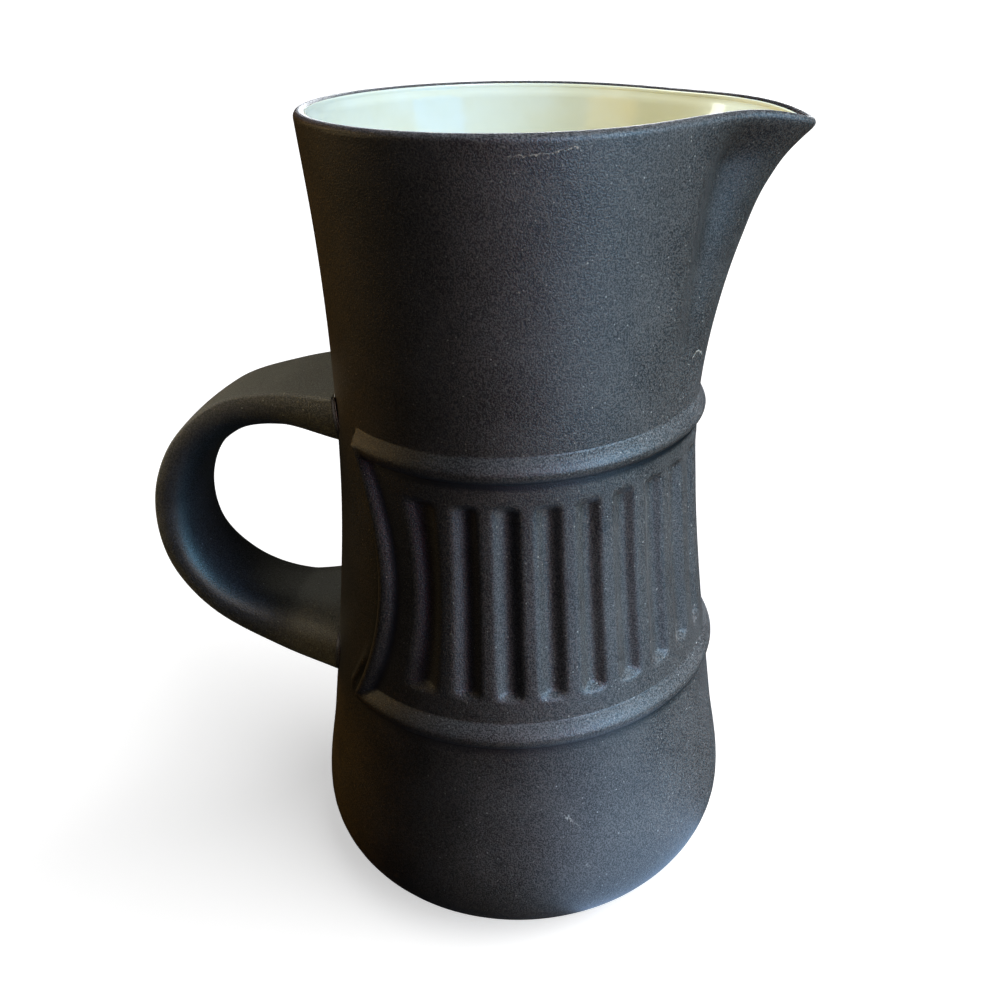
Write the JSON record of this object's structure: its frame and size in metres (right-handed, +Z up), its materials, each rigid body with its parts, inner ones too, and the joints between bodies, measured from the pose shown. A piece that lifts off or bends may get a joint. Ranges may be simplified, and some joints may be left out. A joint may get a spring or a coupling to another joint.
{
  "type": "creamer",
  "caption": "Small waisted stoneware jug with a pulled pouring spout, a fluted band between raised rails, a broad strap handle and a glazed inside.",
  "frame": {"origin": "centre of the flat foot, on the jug's axis, at the level of the table", "axes": "+Z up along the jug's axis, +X towards the spout, the handle along -X"},
  "size_m": [0.1101, 0.0752, 0.1354],
  "materials": {
    "stoneware": "bare, matt and near black, with fine pale specks",
    "handle_stoneware": "bare, matt and near black, with fine pale specks",
    "fired_slip": "bare, matt and near black",
    "inner_glaze": "glossy off-white glaze"
  },
  "bodies": {
    "root": {"body": "stoneware", "handle": "handle_stoneware", "upper_handle_joint": "fired_slip", "lower_handle_joint": "fired_slip", "inner_glaze": "inner_glaze"}
  },
  "joints": []
}
